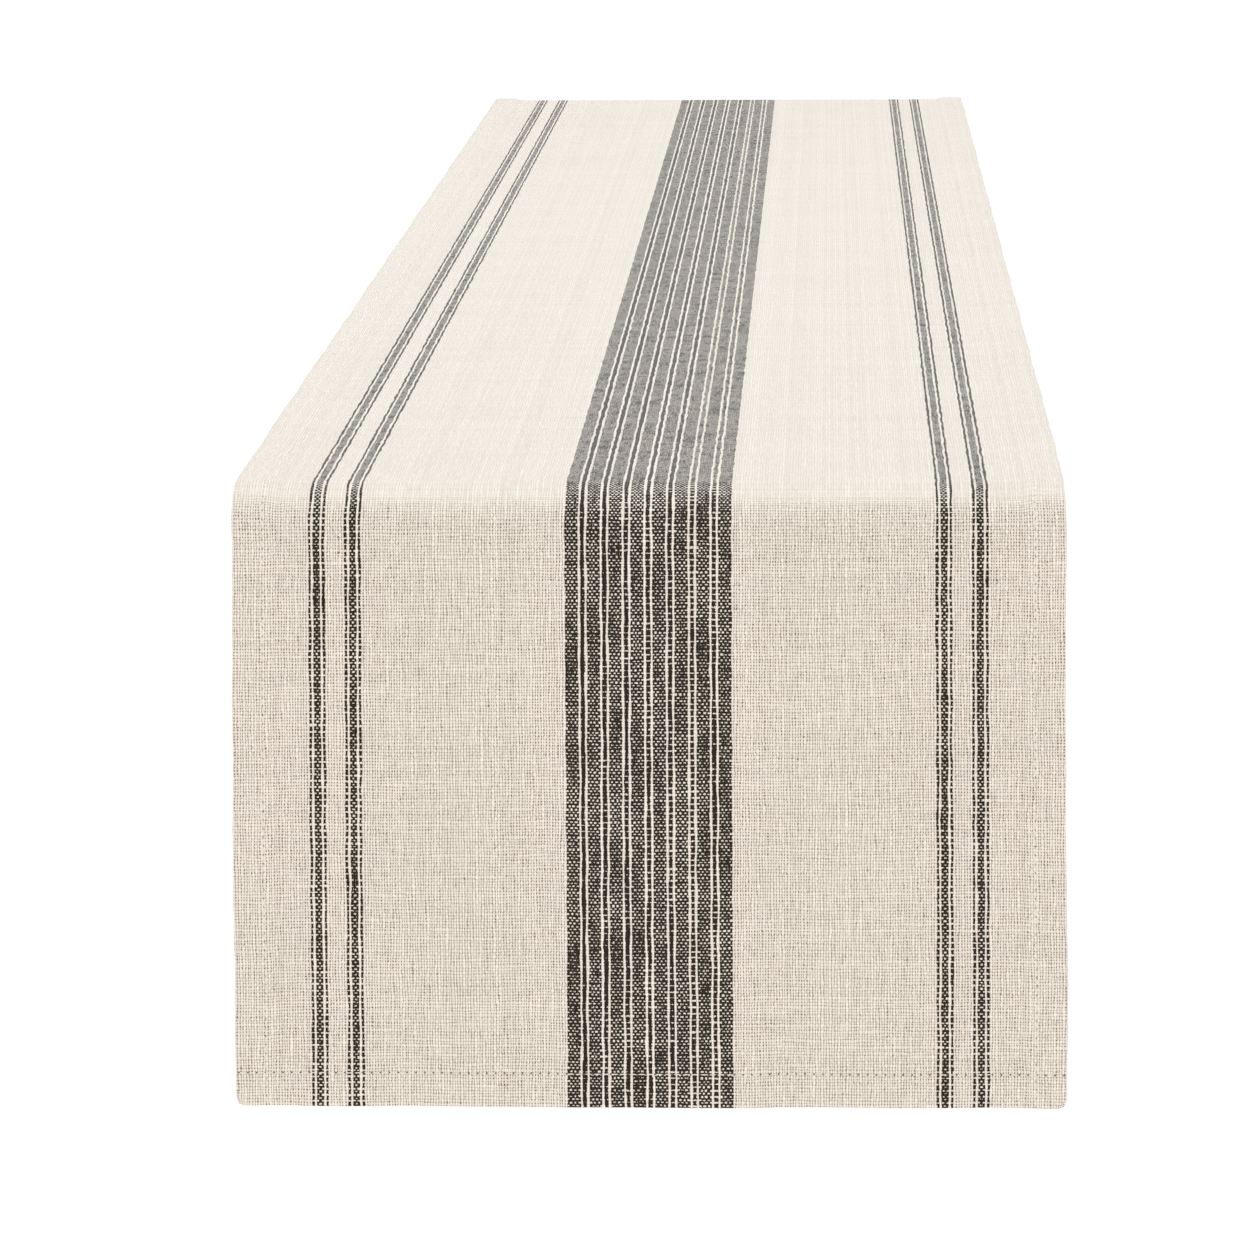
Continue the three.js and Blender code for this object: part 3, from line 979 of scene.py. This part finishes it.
def sewSide(name, side, layer, place, sign):
    height, way, sideRowEnd = layers[layer]
    along = stitchCentres(0.5 * stitching["pitch"], sideRowEnd)
    line = sign * (faceSide - stitching["sideRow"]) + 0 * along
    points, out = surfaceAt(side, line, along, height + 0 * along)
    row = sewRow(f"{name}_{place}_{layer}_thread", stitches, points, way * out, stitching["seed"] + sign)
    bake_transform(row)
    if layer == "needle":
        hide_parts(f"top_{place}_hem_thread", f"{name}_drop_{place}_hem_thread")
    return row


runnerEnds = (("near", -1), ("far", 1))
halves = {side: layHalf(name, side) for name, side in runnerEnds}
print("cloth laid out")

# sew the end and both side hems of each half, with the needle's thread and the bobbin's
for name, side in runnerEnds:
    for layer in layers:
        sewEnd(name, side, layer)
        for place, sign in (("left", -1), ("right", 1)):
            sewSide(name, side, layer, place, sign)
print("hems sewn")


studio = {
    "tableHeight": 0.74,
    "floorReach": 30,
    "floorWhite": 0.9,
    "floorGlow": 0.14,
    "worldLight": 1.0,
    "topLight": 22.5,  # watts
    "topLightTint": "DAF0FF",
    "topLightSize": (3, 4),
    "topLightAt": (-0.6, 0, 2.2),
}


def buildStudio():
    mesh = bpy.data.meshes.new("studio_floor")
    reach = studio["floorReach"]
    corners = [(-reach, -reach), (reach, -reach), (reach, reach), (-reach, reach)]
    mesh.from_pydata([(x, y, -studio["tableHeight"]) for x, y in corners], [], [(0, 1, 2, 3)])
    mesh.materials.append(floorMaterial())
    newObject("studio_floor", mesh)

    world = bpy.data.worlds.new("studio_white")
    world.use_nodes = True
    world.node_tree.nodes["Background"].inputs["Color"].default_value = (1, 1, 1, 1)
    world.node_tree.nodes["Background"].inputs["Strength"].default_value = studio["worldLight"]
    bpy.context.scene.world = world

    softbox = bpy.data.lights.new("overhead_softbox", "AREA")
    softbox.shape = "RECTANGLE"
    softbox.size, softbox.size_y = studio["topLightSize"]
    softbox.energy = studio["topLight"]
    softbox.color = srgb(studio["topLightTint"])[:3]
    newObject("overhead_softbox", softbox).location = studio["topLightAt"]


camera = {
    "sensor": 36,
    "lens": 183.32,
    "across": 0.0776,  # from the middle of the cloth to the right
    "away": 2.6935,  # in front of the table's edge
    "above": 0.3699,  # over the tabletop
    "pitch": 9.033,
    "yaw": 1.843,
    "roll": 0.296,
    "farthest": 100,
}


def buildCamera():
    data = bpy.data.cameras.new("camera")
    data.sensor_width = camera["sensor"]
    data.lens = camera["lens"]
    data.clip_end = camera["farthest"]
    eye = newObject("camera", data)
    eye.location = (camera["across"], -halfFlat - edgeReach - camera["away"], camera["above"])
    pitch, yaw, roll = (math.radians(camera[name]) for name in ("pitch", "yaw", "roll"))
    forward = Vector((-math.sin(yaw) * math.cos(pitch), math.cos(yaw) * math.cos(pitch), -math.sin(pitch)))
    eye.rotation_mode = "QUATERNION"
    eye.rotation_quaternion = Quaternion(forward, roll) @ forward.to_track_quat("-Z", "Y")
    bpy.context.scene.camera = eye


buildStudio()
buildCamera()
bpy.context.scene.view_settings.view_transform = "Standard"
print("studio set up")
